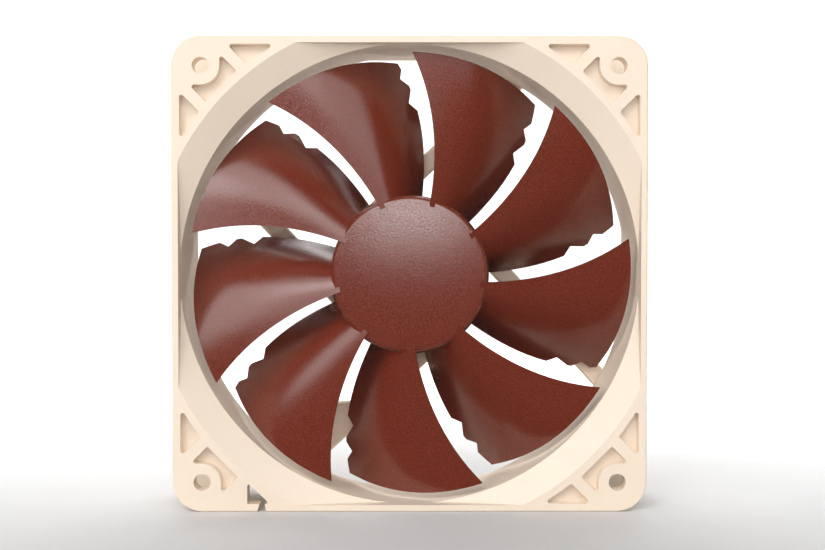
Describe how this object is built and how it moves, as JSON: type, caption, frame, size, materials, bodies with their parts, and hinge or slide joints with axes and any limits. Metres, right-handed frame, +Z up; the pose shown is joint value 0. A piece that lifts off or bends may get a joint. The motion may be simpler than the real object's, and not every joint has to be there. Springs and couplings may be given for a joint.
{
  "type": "case fan",
  "caption": "Square axial case fan: moulded frame with screw holes and a swept-blade impeller on a brushless hub motor.",
  "frame": {"origin": "centre of the fan, on the impeller's axis and half-way through its depth", "axes": "the impeller's axis is Y, the intake side faces -Y and the outlet side faces +Y, Z is up with the cable clip at the lower edge towards -X"},
  "size_m": [0.12, 0.025, 0.12],
  "materials": {
    "frame_plastic": "satin moulded PBT, cream",
    "sintered_bronze": "porous, oiled",
    "wear_plastic": "smooth",
    "electrical_steel": "varnished sheets",
    "insulator_plastic": "moulded",
    "enamelled_copper": "enamelled wire",
    "tinned_metal": "tinned",
    "board": "solder resist",
    "chip_plastic": "moulded epoxy",
    "chip_ceramic": "ceramic",
    "label_foil": "blank satin foil",
    "impeller_plastic": "fine matt moulded plastic, reddish brown",
    "zinc_steel": "drawn steel, zinc plated",
    "magnet_rubber": "bonded ferrite",
    "ground_steel": "ground and polished",
    "brass": "turned",
    "nylon": "natural nylon"
  },
  "bodies": {
    "stator": {"frame": "frame_plastic", "bearing_tube": "brass", "bearing_sleeve": "sintered_bronze", "oil_seal": "nylon", "bearing_magnet": "magnet_rubber", "thrust_pad": "wear_plastic", "bearing_cap": "nylon", "stator_core": "electrical_steel", "front_insulator": "insulator_plastic", "rear_insulator": "insulator_plastic", "coil_right": "enamelled_copper", "coil_top": "enamelled_copper", "coil_left": "enamelled_copper", "coil_bottom": "enamelled_copper", "terminal_pins": "tinned_metal", "circuit_board": "board", "solder_joints": "tinned_metal", "driver_chip": "chip_plastic", "hall_sensor": "chip_plastic", "chip_legs": "tinned_metal", "chip_capacitors": "chip_ceramic", "chip_resistors": "chip_plastic", "rear_label": "label_foil"},
    "rotor": {"impeller": "impeller_plastic", "rotor_yoke": "zinc_steel", "ring_magnet": "magnet_rubber", "shaft": "ground_steel", "shaft_bush": "brass", "oil_slinger": "nylon", "retaining_clip": "nylon"}
  },
  "joints": [
    {"name": "impeller_spin", "type": "hinge", "parent": "stator", "child": "rotor", "pos_m": [0, 0, 0], "axis": [0, -1, 0], "continuous": true}
  ]
}
